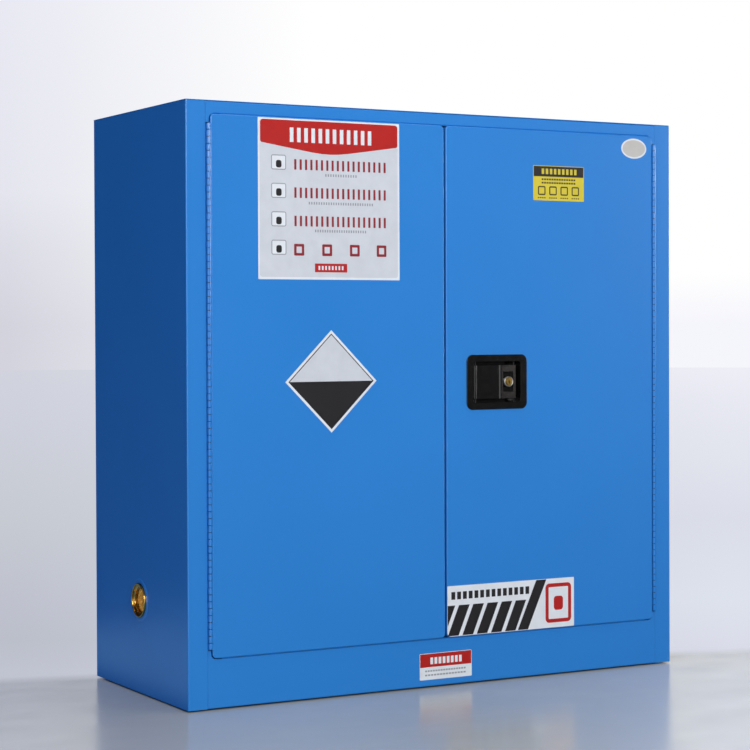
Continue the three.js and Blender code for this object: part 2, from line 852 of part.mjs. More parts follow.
// The strike that receives the centre bolt stands inside the left door's free edge
function leftStrike() {
  const plateX = -freeEdge - sheet - seat + hingeX;
  const hole = rect(
    boltMiddleY - boltThickness / 2 - bulletPlay,
    boltMiddle - boltWidth / 2 - bulletPlay,
    boltMiddleY + boltThickness / 2 + bulletPlay,
    boltMiddle + boltWidth / 2 + bulletPlay,
  );
  const outline = rect(
    boltMiddleY - strikeDepth / 2,
    boltMiddle - keeperWidth / 2,
    boltMiddleY + strikeDepth / 2,
    boltMiddle + keeperWidth / 2,
  );
  return prism('x', outline, plateX - keeperThickness, plateX, [hole]);
}
add(doors.left, 'left_door_strike', leftStrike(), finish.zinc());

// Latch dish: a rounded bezel on the door, a moulded pocket behind it and a stud for the hub

const latch = groupAt(doors.right, latchX, 0, latchHeight);
const flapPinX = flapPinInset - pocketWidth / 2;
const handlePinX = pocketWidth / 2 - handlePinInset;

function pinHole(x, y) {
  const half = pocketHeight / 2 + latchPinDepth;
  return roundBar('z', x, y, latchPinRadius + seat, -half, half);
}

// The ledge that the lock's cam turns behind
function lockLedge() {
  const x = handlePinX - lockFromPin;
  const back = handlePinSink + lockHousingSink + cylinderTail;
  const top = camLength + camWidth / 2 + ledgeSheet;
  const bottom = top - ledgeHeight;
  const [x0, x1] = [x - ledgeWidth / 2, x + ledgeWidth / 2];
  const front = back - ledgeSheet;
  return block(x0, front, bottom, x1, back, top)
    .add(block(x0, front, top - ledgeSheet, x1, pocketDepth + pocketFloor / 2, top));
}

function latchDish() {
  const halfW = dishWidth / 2 - dishEdge;
  const halfH = dishHeight / 2 - dishEdge;
  const plate = new THREE.ExtrudeGeometry(
    new THREE.Shape(roundedRect(-halfW, -halfH, halfW, halfH, dishCorner - dishEdge, 2 * bendSteps)),
    {
      depth: dishProud - seat,
      bevelEnabled: true,
      bevelThickness: dishEdge,
      bevelSize: dishEdge,
      bevelSegments: 2,
    },
  );
  const reachX = pocketWidth / 2;
  const reachZ = pocketHeight / 2;
  const behind = dishProud - seat + dishEdge;
  const bezel = solidOf(stand(plate, 'y', -dishProud + dishEdge, -seat + dishEdge))
    .subtract(block(-dishWidth, -seat, -dishHeight, dishWidth, behind + overrun, dishHeight));
  const wallOutline = roundedRect(
    -reachX - pocketWall,
    -reachZ - pocketWall,
    reachX + pocketWall,
    reachZ + pocketWall,
    pocketCorner + pocketWall,
  );
  const hollow = roundedRect(-reachX, -reachZ, reachX, reachZ, pocketCorner);
  const stud = roundBar('y', 0, 0, studRadius, pocketDepth, rodLayer, smallSides);
  const tailSweep = (pocketBack - handlePinSink) * Math.tan(THREE.MathUtils.degToRad(handleSwing));
  const tailOpening = block(
    handlePinX - tailSweep - tailWidth,
    pocketDepth - overrun,
    -hubPinRadius - tailHeight,
    handlePinX + tailWidth,
    pocketBack + overrun,
    -hubPinRadius + tailHeight,
  );
  return bezel
    .add(prism('y', wallOutline, -dishProud / 2, pocketBack))
    .subtract(prism('y', hollow, -dishProud - overrun, pocketDepth))
    .add(lockLedge())
    .add(stud)
    .subtract(tailOpening)
    .subtract(pinHole(flapPinX, flapPinSink))
    .subtract(pinHole(handlePinX, handlePinSink));
}
add(latch, 'latch_dish', latchDish(), finish.black());

function latchPin() {
  const half = pocketHeight / 2 + latchPinDepth - seat;
  return roundBar('z', 0, 0, latchPinRadius, -half, half);
}
add(latch, 'flap_pin', latchPin(), finish.steel(), [flapPinX, flapPinSink, 0]);
add(latch, 'handle_pin', latchPin(), finish.steel(), [handlePinX, handlePinSink, 0]);

// A barrel along the Z axis and the bore in it, for a piece that turns on a latch pin
function pinBarrel(radius, half) {
  const bore = roundBar('z', 0, 0, latchPinRadius + seat, -half - overrun, half + overrun);
  return [roundBar('z', 0, 0, radius, -half, half), bore];
}

// Push flap, in a frame whose Z axis is its pin
const flapGroup = groupAt(latch, flapPinX, flapPinSink, 0);

function pushFlap() {
  const half = flapHeight / 2;
  const face = flapFaceSink - flapPinSink;
  const reach = handleEdge - flapPlay - flapPinX;
  const [barrel, bore] = pinBarrel(flapBarrel, half);
  return block(0, face, -half, reach, face + flapThickness, half).add(barrel).subtract(bore);
}
add(flapGroup, 'push_flap', pushFlap(), finish.black());

// Pull handle, in a frame whose Z axis is its pin: a folded plate with a grip down its left edge,
// a box round the lock, and a tail that reaches through the dish to the drive link
const handleGroup = groupAt(latch, handlePinX, handlePinSink, 0);
const windowX1 = -handleBarrel;
const windowX0 = windowX1 - lockWindowWidth;
const tailReach = (hubLayer - handlePinSink) / Math.cos(THREE.MathUtils.degToRad(handleSwing));

function pullHandle() {
  const half = handleHeight / 2;
  const windowHalf = lockWindowHeight / 2;
  const gripX = handleEdge - handlePinX;
  const face = handleFaceSink - handlePinSink;
  const path = [
    [gripX, 0],
    [gripX, face],
    [handleOverhang, face + handleSlope],
  ];
  const plate = prism('z', foldedSheet(path, handleThickness, 1, handleBend), -half, half);
  const [barrel, bore] = pinBarrel(handleBarrel, half);
  const box = block(
    windowX0 - lockHousingWall,
    face + handleSlope + handleThickness / 2,
    -windowHalf - lockHousingWall,
    windowX1 + lockHousingWall,
    lockHousingSink + lockHousingWall,
    windowHalf + lockHousingWall,
  );
  const hollow = block(windowX0, face - overrun, -windowHalf, windowX1, lockHousingSink, windowHalf);
  const cylinderHole = roundBar(
    'y',
    -lockFromPin,
    0,
    cylinderRadius + seat,
    lockHousingSink - overrun,
    lockHousingSink + lockHousingWall + overrun,
    roundSides,
  );
  const tail = block(
    -tailWidth / 2,
    latchPinRadius + seat,
    -hubPinRadius - tailHeight / 2,
    tailWidth / 2,
    tailReach,
    -hubPinRadius + tailHeight / 2,
  );
  return plate
    .add(barrel)
    .add(tail)
    .add(box)
    .subtract(bore)
    .subtract(hollow)
    .subtract(cylinderHole);
}
add(handleGroup, 'pull_handle', pullHandle(), finish.black());

// Lock: a cylinder fixed in the handle, a plug that turns in it and a cam on the plug's tail

const lock = groupAt(handleGroup, -lockFromPin, lockHousingSink, 0);

function lockCylinder() {
  const hole = circle(0, 0, plugRadius + seat, roundSides);
  const body = prism('y', circle(0, 0, cylinderRadius), -cylinderLength, cylinderTail, [hole]);
  const rimBack = cylinderRimThickness - cylinderLength;
  const rim = prism('y', circle(0, 0, cylinderRim), -cylinderLength, rimBack, [hole]);
  return body.add(rim);
}
add(lock, 'lock_cylinder', lockCylinder(), finish.zinc());

function lockPlug() {
  const front = -cylinderLength - plugProud;
  const slot = rect(-keyway / 2, -keywayHeight / 2, keyway / 2, keywayHeight / 2);
  return roundBar('y', 0, 0, plugRadius, front, cylinderTail, roundSides)
    .subtract(prism('y', slot, front - overrun, front + keywayDepth));
}
add(lock, 'lock_plug', lockPlug(), finish.brass());

function lockCam() {
  const half = camWidth / 2;
  const from = cylinderTail + seat;
  const outline = [
    ...arcPoints(0, 0, half, -quarterTurn, quarterTurn, 2 * bendSteps),
    new THREE.Vector2(-camLength, half),
    new THREE.Vector2(-camLength, -half),
  ];
  return prism('y', outline, from, from + camThickness);
}
add(lock, 'lock_cam', lockCam(), finish.zinc());

// Three-point mechanism. The hub's pins start half its swing before the middle of their travel,
// so that each pin stays nearly in line with the rod that it drives.
const hubSwing = latchThrow / hubPinRadius;
const hubStart = hubSwing / 2;

function pinPlace(angle) {
  return [hubPinRadius * Math.cos(angle), hubPinRadius * Math.sin(angle)];
}

const pinPlaces = {
  top: pinPlace(hubStart),
  bolt: pinPlace(quarterTurn + hubStart),
  bottom: pinPlace(2 * quarterTurn + hubStart),
  drive: pinPlace(3 * quarterTurn + hubStart),
};
const forwardPins = ['bolt', 'drive'];

function latchHub() {
  let body = prism('y', circle(0, 0, hubPinRadius + hubRim), hubLayer, hubLayer + hubThickness);
  for (const [name, [x, z]] of Object.entries(pinPlaces)) {
    const forward = forwardPins.includes(name);
    const from = forward ? boltLayer : hubLayer;
    const to = forward ? hubLayer + hubThickness : rodLayer + rodThickness;
    body = body.add(roundBar('y', x, z, drivePin, from, to, smallSides));
  }
  return body.subtract(roundBar('y', 0, 0, hubBore, hubLayer - overrun, hubLayer + overrun, smallSides));
}
add(latch, 'latch_hub', latchHub(), finish.zinc());

// The oblong slot in a rod or in the bolt that a hub pin works in
const pinWander = hubPinRadius * (1 - Math.cos(hubStart));
const slotAcross = drivePin + slotPlay + pinWander;
const slotAlong = drivePin + slotPlay;

function latchRod(name, tip, up) {
  const [pinX, pinZ] = pinPlaces[name];
  const railX = Math.sign(pinX) * hubPinRadius;
  const half = rodWidth / 2;
  const bulletFrom = tip - up * bulletLength;
  const near = pinZ - up * rodWidth / 2;
  const far = bulletFrom + up * half;
  const bar = block(
    railX - half,
    rodLayer,
    Math.min(near, far),
    railX + half,
    rodLayer + rodThickness,
    Math.max(near, far),
  );
  const nose = [
    [0, 0],
    [bulletRadius, 0],
    [bulletRadius, bulletLength - bulletRadius],
    ...arcPoints(0, bulletLength - bulletRadius, bulletRadius, 0, quarterTurn, bendSteps)
      .slice(1, -1)
      .map((point) => [point.x, point.y]),
    [0, bulletLength],
  ];
  const bullet = turned(nose, smallSides)
    .rotate([up > 0 ? 0 : 180, 0, 0])
    .translate([railX, rodLayer + rodThickness / 2, bulletFrom]);
  const slot = rect(pinX - slotAcross, pinZ - slotAlong, pinX + slotAcross, pinZ + slotAlong);
  return bar
    .add(bullet)
    .subtract(prism('y', slot, rodLayer - overrun, rodLayer + rodThickness + overrun));
}

add(latch, 'top_rod', latchRod('top', doorTop + topTipProud - latchHeight, 1), finish.steel());
add(latch, 'bottom_rod', latchRod('bottom', doorBottom - tipProud - latchHeight, -1), finish.steel());

// A bar in the layer in front of the hub, with the slot that one of the hub's forward pins works in
function forwardBar(name, x0, x1) {
  const [pinX, pinZ] = pinPlaces[name];
  const out = Math.sign(pinZ);
  const half = boltWidth / 2;
  const middle = out * hubPinRadius;
  const [near, far] = [pinZ - out * slotAlong, pinZ + out * (slotAlong + pinWander)];
  const slot = rect(pinX - slotAlong, Math.min(near, far), pinX + slotAlong, Math.max(near, far));
  return block(x0, boltLayer, middle - half, x1, boltLayer + boltThickness, middle + half)
    .subtract(prism('y', slot, boltLayer - overrun, boltLayer + boltThickness + overrun));
}

function centreBolt() {
  const tip = freeEdge - tipProud - latchFromMiddle;
  return forwardBar('bolt', tip, pinPlaces.bolt[0] + slotAlong + boltWidth / 2);
}
add(latch, 'centre_bolt', centreBolt(), finish.steel());

// The handle's tail pushes this link to the left, and the hub turns with it.
function driveLink() {
  const slotHalf = tailWidth / 2 + tailPlay;
  const slotHeight = boltWidth / 2 - linkLip;
  const slot = rect(
    handlePinX - slotHalf,
    -hubPinRadius - slotHeight,
    handlePinX + slotHalf,
    -hubPinRadius + slotHeight,
  );
  const left = pinPlaces.drive[0] - slotAlong - boltWidth / 2;
  return forwardBar('drive', left, handlePinX + slotHalf + tailLip)
    .subtract(prism('y', slot, boltLayer - overrun, boltLayer + boltThickness + overrun));
}
add(latch, 'drive_link', driveLink(), finish.zinc());

// A nylon block near each end of the door keeps its rod straight
function rodGuide(rodAt, from) {
  const x = rodAt - hingeX;
  const half = guideWidth / 2;
  const clear = rodWidth / 2 + seat;
  const [near, far] = [rodLayer - seat, rodLayer + rodThickness + seat];
  const outline = rect(x - half, sheet + seat, x + half, far + guideWall);
  return prism('z', outline, from, from + guideHeight, [rect(x - clear, near, x + clear, far)]);
}
add(doors.right, 'top_rod_guide', rodGuide(rodX.top, doorTop - guideInset - guideHeight), finish.black());
add(doors.right, 'bottom_rod_guide', rodGuide(rodX.bottom, doorBottom + guideInset), finish.black());

export default cabinet;
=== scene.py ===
# The looks of a flammable safety cabinet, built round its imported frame.
# Metres. X to the right, the doors towards -Y, Z up.
import json
import math

import bmesh
import bpy
from mathutils import Matrix, Vector


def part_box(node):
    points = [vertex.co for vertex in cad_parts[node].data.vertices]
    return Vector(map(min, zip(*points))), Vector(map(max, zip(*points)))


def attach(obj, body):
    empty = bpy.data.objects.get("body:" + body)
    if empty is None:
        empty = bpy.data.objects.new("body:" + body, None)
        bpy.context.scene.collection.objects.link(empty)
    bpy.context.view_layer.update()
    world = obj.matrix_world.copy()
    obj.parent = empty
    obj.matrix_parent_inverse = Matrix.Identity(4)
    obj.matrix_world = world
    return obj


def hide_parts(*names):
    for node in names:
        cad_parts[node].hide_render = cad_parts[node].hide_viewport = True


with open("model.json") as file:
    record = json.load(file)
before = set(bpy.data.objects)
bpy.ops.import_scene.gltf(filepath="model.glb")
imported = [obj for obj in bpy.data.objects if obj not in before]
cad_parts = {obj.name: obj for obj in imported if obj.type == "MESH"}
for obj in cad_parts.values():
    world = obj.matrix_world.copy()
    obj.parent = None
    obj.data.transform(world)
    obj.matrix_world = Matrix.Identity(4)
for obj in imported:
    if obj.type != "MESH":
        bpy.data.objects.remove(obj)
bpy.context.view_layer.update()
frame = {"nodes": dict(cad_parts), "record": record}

scene = bpy.context.scene
nodes = frame["nodes"]
MM = 0.001


# Colours

def srgb(red, green, blue):
    """The linear colour of a display colour given in steps of 255."""
    def linear(step):
        share = step / 255
        if share <= 0.04045:
            return share / 12.92
        return ((share + 0.055) / 1.055) ** 2.4
    return (linear(red), linear(green), linear(blue), 1.0)


def darker(colour, share):
    return tuple(share * level for level in colour[:3]) + (1,)


# Materials

class Tree:
    """A node tree that starts empty, and short calls that add nodes to it."""

    def __init__(self, tree):
        self.tree = tree
        self.tree.nodes.clear()

    def add(self, kind, **settings):
        node = self.tree.nodes.new(kind)
        for name, value in settings.items():
            setattr(node, name, value)
        return node

    def join(self, output, socket):
        self.tree.links.new(output, socket)

    def feed(self, socket, value):
        if isinstance(value, bpy.types.NodeSocket):
            self.join(value, socket)
        else:
            socket.default_value = value

    def between(self, share, low, high, start=0.3, end=0.7):
        """A number that goes from low to high as share goes from start to end."""
        node = self.add("ShaderNodeMapRange")
        self.feed(node.inputs["Value"], share)
        node.inputs["From Min"].default_value = start
        node.inputs["From Max"].default_value = end
        node.inputs["To Min"].default_value = low
        node.inputs["To Max"].default_value = high
        return node.outputs["Result"]

    def blend(self, share, first, second):
        """A colour between two others."""
        node = self.add("ShaderNodeMix", data_type="RGBA")
        self.feed(node.inputs["Factor"], share)
        self.feed(node.inputs["A"], first)
        self.feed(node.inputs["B"], second)
        return node.outputs["Result"]

    def ramp(self, share, stops):
        """A colour from (position, colour) stops."""
        node = self.add("ShaderNodeValToRGB")
        elements = node.color_ramp.elements
        elements[0].position, elements[0].color = stops[0]
        elements[1].position, elements[1].color = stops[-1]
        for position, colour in stops[1:-1]:
            elements.new(position).color = colour
        self.join(share, node.inputs["Fac"])
        return node.outputs["Color"]

    def count(self, operation, first, second, clamp=False):
        node = self.add("ShaderNodeMath", operation=operation, use_clamp=clamp)
        self.feed(node.inputs[0], first)
        self.feed(node.inputs[1], second)
        return node.outputs[0]

    def along(self, vector, direction):
        """How far a vector reaches in a direction."""
        node = self.add("ShaderNodeVectorMath", operation="DOT_PRODUCT")
        self.join(vector, node.inputs[0])
        node.inputs[1].default_value = direction
        return node.outputs["Value"]


class Graph(Tree):
    """A new material's node tree. Its textures read object coordinates."""

    def __init__(self, name):
        self.material = bpy.data.materials.new(name)
        self.material.use_nodes = True
        super().__init__(self.material.node_tree)
        self.shader = self.add("ShaderNodeBsdfPrincipled")
        self.output = self.add("ShaderNodeOutputMaterial")
        self.join(self.shader.outputs["BSDF"], self.output.inputs["Surface"])
        self.place = self.add("ShaderNodeTexCoord").outputs["Object"]

    def stretched(self, scale):
        mapping = self.add("ShaderNodeMapping")
        self.join(self.place, mapping.inputs["Vector"])
        mapping.inputs["Scale"].default_value = scale
        return mapping.outputs["Vector"]

    def noise(self, scale, detail=2.0, place=None, rough=0.5):
        node = self.add("ShaderNodeTexNoise")
        self.join(place or self.place, node.inputs["Vector"])
        node.inputs["Scale"].default_value = scale
        node.inputs["Detail"].default_value = detail
        node.inputs["Roughness"].default_value = rough
        return node.outputs["Fac"]

    def bump(self, height, depth, below=None):
        """The normal over a relief of that depth, laid over another one if below is given."""
        node = self.add("ShaderNodeBump")
        self.join(height, node.inputs["Height"])
        node.inputs["Distance"].default_value = depth
        if below is not None:
            self.join(below, node.inputs["Normal"])
        return node.outputs["Normal"]

    def finish(self, **values):
        for name, value in values.items():
            self.feed(self.shader.inputs[name.replace("_", " ").title()], value)
        return self.material


def powder_paint(name, colour, shade, gloss):
    """Sprayed and baked powder paint on sheet steel: a slow drift of tone, orange peel and faint waves."""
    g = Graph(name)
    tone = g.between(g.noise(2.6, 3), 0, 1)
    waves = g.bump(g.noise(3.2, 0), 0.5 * MM)
    peel = g.bump(g.noise(700, 1), 0.004 * MM, waves)
    return g.finish(
        base_color=g.blend(tone, colour, shade),
        roughness=g.between(g.noise(12, 2), gloss + 0.015, gloss + 0.035),
        normal=peel,
    )


def drawn_steel(name, colour, shade, rough):
    """Cold drawn or ground steel, its marks along Z."""
    g = Graph(name)
    marks = g.noise(900, 3, g.stretched((1, 1, 0.02)))
    return g.finish(
        base_color=g.blend(g.between(g.noise(60, 4), 0, 1), colour, shade),
        metallic=1.0,
        roughness=g.between(marks, rough, rough + 0.14),
        normal=g.bump(marks, 0.004 * MM),
    )


def zinc_plate(name):
    """Zinc plated steel: a cool grey with cloudy patches and a faint yellow cast."""
    g = Graph(name)
    clouds = g.between(g.noise(22, 5, rough=0.65), 0, 1)
    cool = g.blend(clouds, srgb(182, 187, 194), srgb(158, 161, 166))
    warm = g.blend(g.between(g.noise(9, 2), 0, 0.35), cool, srgb(190, 184, 160))
    return g.finish(
        base_color=warm,
        metallic=1.0,
        roughness=g.between(g.noise(140, 3), 0.28, 0.42),
        normal=g.bump(g.noise(420, 2), 0.006 * MM),
    )


def turned_brass(name, rough=0.13, bright=srgb(214, 172, 92), dark=srgb(142, 94, 44)):
    """Turned brass with fine tool marks and darker tarnish."""
    g = Graph(name)
    tarnish = g.between(g.noise(70, 5, rough=0.6), 0, 0.8, 0.42, 0.75)
    marks = g.noise(1500, 2, g.stretched((1, 0.25, 0.25)))
    return g.finish(
        base_color=g.blend(tarnish, bright, dark),
        metallic=1.0,
        roughness=g.between(marks, rough, rough + 0.11),
        normal=g.bump(marks, 0.003 * MM),
    )


def moulded_plastic(name, colour, gloss, grain):
    """Moulded or enamelled black, with a fine grain."""
    g = Graph(name)
    return g.finish(
        base_color=g.blend(g.between(g.noise(30, 2), 0, 1), colour, darker(colour, 0.7)),
        roughness=g.between(g.noise(120, 3), gloss, gloss + 0.07),
        normal=g.bump(g.noise(900, 2), grain),
    )


def vinyl(name, colour):
    """Printed vinyl film: an even ink with a faint unevenness of tone and of surface."""
    g = Graph(name)
    return g.finish(
        base_color=g.blend(g.between(g.noise(45, 3), 0, 1), colour, darker(colour, 0.93)),
        roughness=g.between(g.noise(90, 2), 0.32, 0.40),
        normal=g.bump(g.noise(25, 1), 0.03 * MM),
    )


BLUE = (0.023, 0.216, 0.615, 1.0)
BLUE_SHADE = (0.021, 0.205, 0.590, 1.0)
finishes = {
    "paint": powder_paint("blue_powder_paint", BLUE, BLUE_SHADE, 0.26),
    "liner": powder_paint("blue_liner_paint", BLUE_SHADE, (0.019, 0.188, 0.555, 1.0), 0.36),
    "steel": drawn_steel("drawn_steel", srgb(196, 199, 204), srgb(172, 175, 180), 0.24),
    "zinc": zinc_plate("zinc_plate"),
    "brass": turned_brass("turned_brass"),
    "gloss_black": moulded_plastic("gloss_black", (0.006, 0.006, 0.006, 1), 0.15, 0.002 * MM),
    "black_nylon": moulded_plastic("black_nylon", (0.018, 0.018, 0.019, 1), 0.48, 0.01 * MM),
}
inks = {
    "white": vinyl("label_white", srgb(226, 229, 232)),
    "pale": vinyl("label_pale", srgb(206, 209, 214)),
    "grey": vinyl("label_grey", srgb(150, 152, 158)),
    "red": vinyl("label_red", srgb(180, 24, 20)),
    "dark_red": vinyl("label_dark_red", srgb(140, 28, 40)),
    "black": vinyl("label_black", srgb(28, 27, 30)),
    "yellow": vinyl("label_yellow", srgb(214, 196, 58)),
    "warm": vinyl("label_warm_grey", srgb(196, 192, 186)),
}


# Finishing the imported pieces

SMOOTH_BELOW = math.radians(40)
FLAT_BELOW = math.radians(0.5)
WELD_REACH = 0.002 * MM
EASED = 0.35 * MM
EASED_MORE = {
    "latch_dish": (1.2 * MM, 4),
    "left_door_skin": (0.22 * MM, 2),
    "right_door_skin": (0.22 * MM, 2),
    "top_rail": (0.08 * MM, 2),
    "left_door_jamb": (0.6 * MM, 3),
    "right_door_jamb": (0.6 * MM, 3),
}
BENT = ("left_side_panel", "right_side_panel")
BEND = 3.0 * MM
CORNER_MARGIN = 0.1 * MM
# Joining the flat faces of these would spoil the faces round their slots
SLOTTED = ("left_liner", "right_liner")


def geometry_group(name):
    """A new geometry nodes group with its input and output nodes."""
    group = bpy.data.node_groups.new(name, "GeometryNodeTree")
    for way in ("INPUT", "OUTPUT"):
        group.interface.new_socket("Geometry", in_out=way, socket_type="NodeSocketGeometry")
    return group, group.nodes.new("NodeGroupInput"), group.nodes.new("NodeGroupOutput")


def smooth_by_angle():
    """A geometry nodes group that shades faces smooth and keeps the edges above an angle sharp."""
    group, start, end = geometry_group("smooth_by_angle")
    faces = group.nodes.new("GeometryNodeSetShadeSmooth")
    faces.domain = "FACE"
    edges = group.nodes.new("GeometryNodeSetShadeSmooth")
    edges.domain = "EDGE"
    edges.inputs["Shade Smooth"].default_value = False
    angle = group.nodes.new("GeometryNodeInputMeshEdgeAngle")
    sharp = group.nodes.new("FunctionNodeCompare")
    sharp.operation = "GREATER_THAN"
    sharp.inputs["B"].default_value = SMOOTH_BELOW
    group.links.new(angle.outputs["Unsigned Angle"], sharp.inputs["A"])
    group.links.new(start.outputs[0], faces.inputs["Geometry"])
    group.links.new(faces.outputs[0], edges.inputs["Geometry"])
    group.links.new(sharp.outputs[0], edges.inputs["Selection"])
    group.links.new(edges.outputs[0], end.inputs[0])
    return group


smooth_group = smooth_by_angle()


def ease_edges(piece, width, segments=2, from_frame=False, bends=False):
    """Rounds a piece's sharp edges a little and shades its curves smooth."""
    if from_frame:
        weld = piece.modifiers.new("weld", "WELD")
        weld.merge_threshold = WELD_REACH
        merge = piece.modifiers.new("flat_faces", "DECIMATE")
        merge.decimate_type = "DISSOLVE"
        merge.angle_limit = FLAT_BELOW
    if bends:
        round_bends(piece)
    bevel = piece.modifiers.new("eased_edges", "BEVEL")
    bevel.width = width
    bevel.segments = segments
    bevel.limit_method = "ANGLE"
    bevel.angle_limit = SMOOTH_BELOW
    bevel.miter_outer = "MITER_ARC"
    smooth = piece.modifiers.new("smooth", "NODES")
    smooth.node_group = smooth_group
    normals = piece.modifiers.new("normals", "WEIGHTED_NORMAL")
    normals.keep_sharp = True


def outer_bends():
    """A geometry nodes group that marks the upright outer corners of the body for a wider round."""
    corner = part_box("left_side_panel")[0]
    group, start, end = geometry_group("outer_bends")
    place = group.nodes.new("GeometryNodeInputPosition")
    parts = group.nodes.new("ShaderNodeSeparateXYZ")
    group.links.new(place.outputs[0], parts.inputs[0])

    def beyond(axis, limit):
        size = group.nodes.new("ShaderNodeMath")
        size.operation = "ABSOLUTE"
        group.links.new(parts.outputs[axis], size.inputs[0])
        node = group.nodes.new("ShaderNodeMath")
        node.operation = "GREATER_THAN"
        group.links.new(size.outputs[0], node.inputs[0])
        node.inputs[1].default_value = abs(limit) - CORNER_MARGIN
        return node.outputs[0]

    both = group.nodes.new("ShaderNodeMath")
    both.operation = "MULTIPLY"
    group.links.new(beyond("X", corner.x), both.inputs[0])
    group.links.new(beyond("Y", corner.y), both.inputs[1])
    store = group.nodes.new("GeometryNodeStoreNamedAttribute")
    store.data_type = "FLOAT"
    store.domain = "EDGE"
    store.inputs["Name"].default_value = "bevel_weight_edge"
    group.links.new(both.outputs[0], store.inputs["Value"])
    group.links.new(start.outputs[0], store.inputs["Geometry"])
    group.links.new(store.outputs[0], end.inputs[0])
    return group


def round_bends(piece):
    """The sheet's bend radius at the marked corners, ahead of the small easing."""
    marks = piece.modifiers.new("outer_bends", "NODES")
    marks.node_group = bend_group
    bevel = piece.modifiers.new("bend_radius", "BEVEL")
    bevel.width = BEND
    bevel.segments = 5
    bevel.limit_method = "WEIGHT"


bend_group = outer_bends()

for part in frame["record"]["subparts"]:
    piece = nodes[part["node"]]
    piece.data.materials.clear()
    piece.data.materials.append(finishes[part["material_slot"]])
    width, segments = EASED_MORE.get(part["node"], (EASED, 2))
    ease_edges(
        piece, width, segments, from_frame=part["node"] not in SLOTTED, bends=part["node"] in BENT
    )

dull_brass = turned_brass("dull_brass", 0.38, srgb(172, 148, 80), srgb(104, 82, 40))
nodes["lock_plug"].data.materials[0] = dull_brass
hinge_paint = powder_paint("hinge_paint", BLUE, BLUE_SHADE, 0.12)
# Dark steel for the pins. On the hinge pins the dark colour is painted shade, so that the gaps between the
# knuckles read dark; on the latch's pins it dims their glints
dark_pin_steel = drawn_steel("dark_pin_steel", srgb(46, 47, 50), srgb(34, 34, 36), 0.4)
for name in ("left_hinge_pin", "right_hinge_pin", "flap_pin", "handle_pin"):
    nodes[name].data.materials[0] = dark_pin_steel


# Mesh pieces

def arc(centre_u, centre_v, radius, start, end, steps):
    """Points along an arc, its angles in degrees."""
    points = []
    for i in range(steps + 1):
        angle = math.radians(start + (end - start) * i / steps)
        points.append((centre_u + radius * math.cos(angle), centre_v + radius * math.sin(angle)))
    return points


def rounded(u0, v0, u1, v1, radius):
    """The outline of a rectangle with round corners."""
    steps = 6
    return [
        *arc(u1 - radius, v0 + radius, radius, -90, 0, steps),
        *arc(u1 - radius, v1 - radius, radius, 0, 90, steps),
        *arc(u0 + radius, v1 - radius, radius, 90, 180, steps),
        *arc(u0 + radius, v0 + radius, radius, 180, 270, steps),
    ]


def box_outline(u0, v0, u1, v1):
    return [(u0, v0), (u1, v0), (u1, v1), (u0, v1)]


def add_prism(mesh, outline, low, high, place, material=0):
    """A prism of a flat outline. place turns (u, v, w) into a point, and w runs from low to high."""
    ends = [[mesh.verts.new(place(u, v, w)) for u, v in outline] for w in (low, high)]
    faces = [mesh.faces.new(ends[0]), mesh.faces.new(ends[1])]
    for i in range(len(outline)):
        j = (i + 1) % len(outline)
        faces.append(mesh.faces.new((ends[0][i], ends[0][j], ends[1][j], ends[1][i])))
    for face in faces:
        face.material_index = material


def add_turned(mesh, profile, steps, place, material=0):
    """A ring turned from a closed profile of (radius, along) points. place turns (u, v, w) into a point."""
    rings = []
    for i in range(steps):
        angle = 2 * math.pi * i / steps
        ring = [mesh.verts.new(place(r * math.cos(angle), r * math.sin(angle), w)) for r, w in profile]
        rings.append(ring)
    for i in range(steps):
        here, there = rings[i], rings[(i + 1) % steps]
        for k in range(len(profile)):
            n = (k + 1) % len(profile)
            face = mesh.faces.new((here[k], here[n], there[n], there[k]))
            face.material_index = material


def add_dome(mesh, radius, rise, steps, place):
    """A low round head on a flat face: a short wall and a crown."""
    rings = []
    for share, height in ((1.0, 0.0), (1.0, 0.45), (0.8, 0.85), (0.45, 1.0)):
        ring = []
        for i in range(steps):
            angle = 2 * math.pi * i / steps
            u, v = radius * share * math.cos(angle), radius * share * math.sin(angle)
            ring.append(mesh.verts.new(place(u, v, rise * height)))
        rings.append(ring)
    mesh.faces.new(rings[0])
    mesh.faces.new(rings[-1])
    for here, there in zip(rings, rings[1:]):
        for i in range(steps):
            j = (i + 1) % steps
            mesh.faces.new((here[i], here[j], there[j], there[i]))


def new_object(name, fill, materials):
    """A new object whose mesh fill(mesh) builds."""
    mesh = bmesh.new()
    fill(mesh)
    bmesh.ops.recalc_face_normals(mesh, faces=mesh.faces)
    data = bpy.data.meshes.new(name)
    mesh.to_mesh(data)
    mesh.free()
    for material in materials:
        data.materials.append(material)
    made = bpy.data.objects.new(name, data)
    scene.collection.objects.link(made)
    return made


def make_piece(name, fill, body, materials, ease=None):
    """A new piece that rides on a body and takes the given materials. ease is the round of its edges."""
    piece = new_object(name, fill, materials)
    if ease is not None:
        ease_edges(piece, ease)
    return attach(piece, body)


# Full-length hinges

KNUCKLE_PITCH = 12.7 * MM
KNUCKLE_GAP = 1.2 * MM
KNUCKLE_BORE = 2.5 * MM
KNUCKLE_WRAP = -295
PLATE_LAP = 0.2 * MM
LEAF_EASE = 0.2 * MM
RIVET_PITCH = 101.6 * MM
RIVET_RADIUS = 3.2 * MM
RIVET_RISE = 0.8 * MM
RIVET_STEPS = 20


